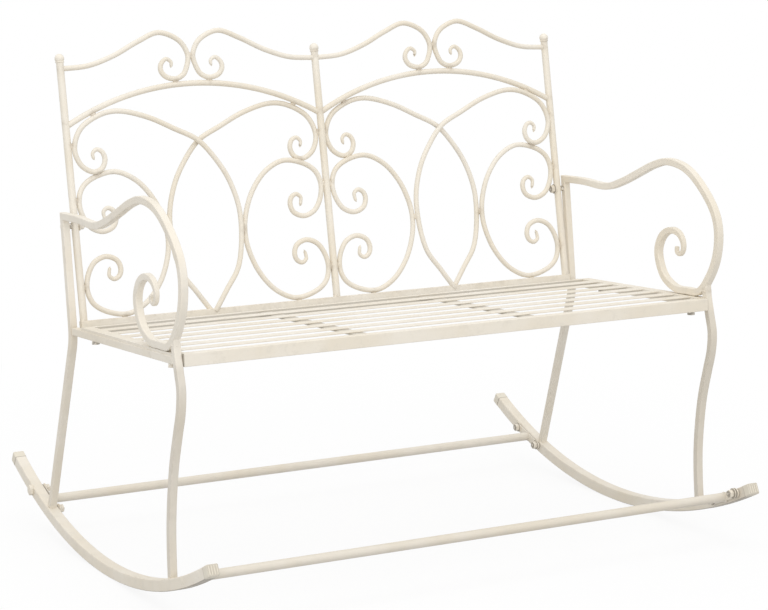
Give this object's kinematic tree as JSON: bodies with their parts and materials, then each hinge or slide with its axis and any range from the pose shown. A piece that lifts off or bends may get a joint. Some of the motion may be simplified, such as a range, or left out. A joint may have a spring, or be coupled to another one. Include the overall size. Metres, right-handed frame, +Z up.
{
  "type": "rocking garden bench",
  "caption": "Painted steel porch rocking bench: scrolled leaning back, slatted seat, scroll arms, and side frames on curved rockers.",
  "frame": {"origin": "on the floor, midway between the front and rear rocker tips and between the two rockers", "axes": "+Z up, +X to the right as seen from the front, the front of the seat towards -Y"},
  "size_m": [1.0552, 0.8564, 0.8922],
  "materials": {
    "paint": "satin antique cream, lightly worn",
    "cap": "matte",
    "bolt": "zinc, dull"
  },
  "bodies": {
    "root": {"back_post_left": "paint", "finial_left": "paint", "back_post_centre": "paint", "finial_centre": "paint", "back_post_right": "paint", "finial_right": "paint", "arch_left": "paint", "arch_right": "paint", "back_bottom_rail": "paint", "crest_scroll_left_outer": "paint", "lens_scroll_left_outer": "paint", "c_scroll_left_outer": "paint", "crest_scroll_left_inner": "paint", "lens_scroll_left_inner": "paint", "c_scroll_left_inner": "paint", "crest_scroll_right_inner": "paint", "lens_scroll_right_inner": "paint", "c_scroll_right_inner": "paint", "crest_scroll_right_outer": "paint", "lens_scroll_right_outer": "paint", "c_scroll_right_outer": "paint", "seat_rail_front": "paint", "seat_rail_rear": "paint", "seat_slat_1": "paint", "seat_slat_2": "paint", "seat_slat_3": "paint", "seat_slat_4": "paint", "seat_slat_5": "paint", "seat_slat_6": "paint", "seat_slat_7": "paint", "seat_support_left": "paint", "seat_support_right": "paint", "seat_rail_end_right": "paint", "seat_rail_end_left": "paint", "side_rail_right": "paint", "side_rail_left": "paint", "arm_right": "paint", "arm_left": "paint", "front_leg_right": "paint", "front_leg_left": "paint", "rear_leg_right": "paint", "rear_leg_left": "paint", "rocker_right": "paint", "rocker_left": "paint", "rocker_cap_front_right": "cap", "rocker_cap_front_left": "cap", "rocker_cap_rear_right": "cap", "rocker_cap_rear_left": "cap", "back_bolt_right": "bolt", "back_bolt_left": "bolt", "stretcher_bolt_front_low_right": "bolt", "stretcher_bolt_front_low_left": "bolt", "stretcher_bolt_front_high_right": "bolt", "stretcher_bolt_front_high_left": "bolt", "stretcher_bolt_rear_low_right": "bolt", "stretcher_bolt_rear_low_left": "bolt", "stretcher_bolt_rear_high_right": "bolt", "stretcher_bolt_rear_high_left": "bolt", "stretcher_front": "paint", "stretcher_rear": "paint"}
  },
  "joints": []
}
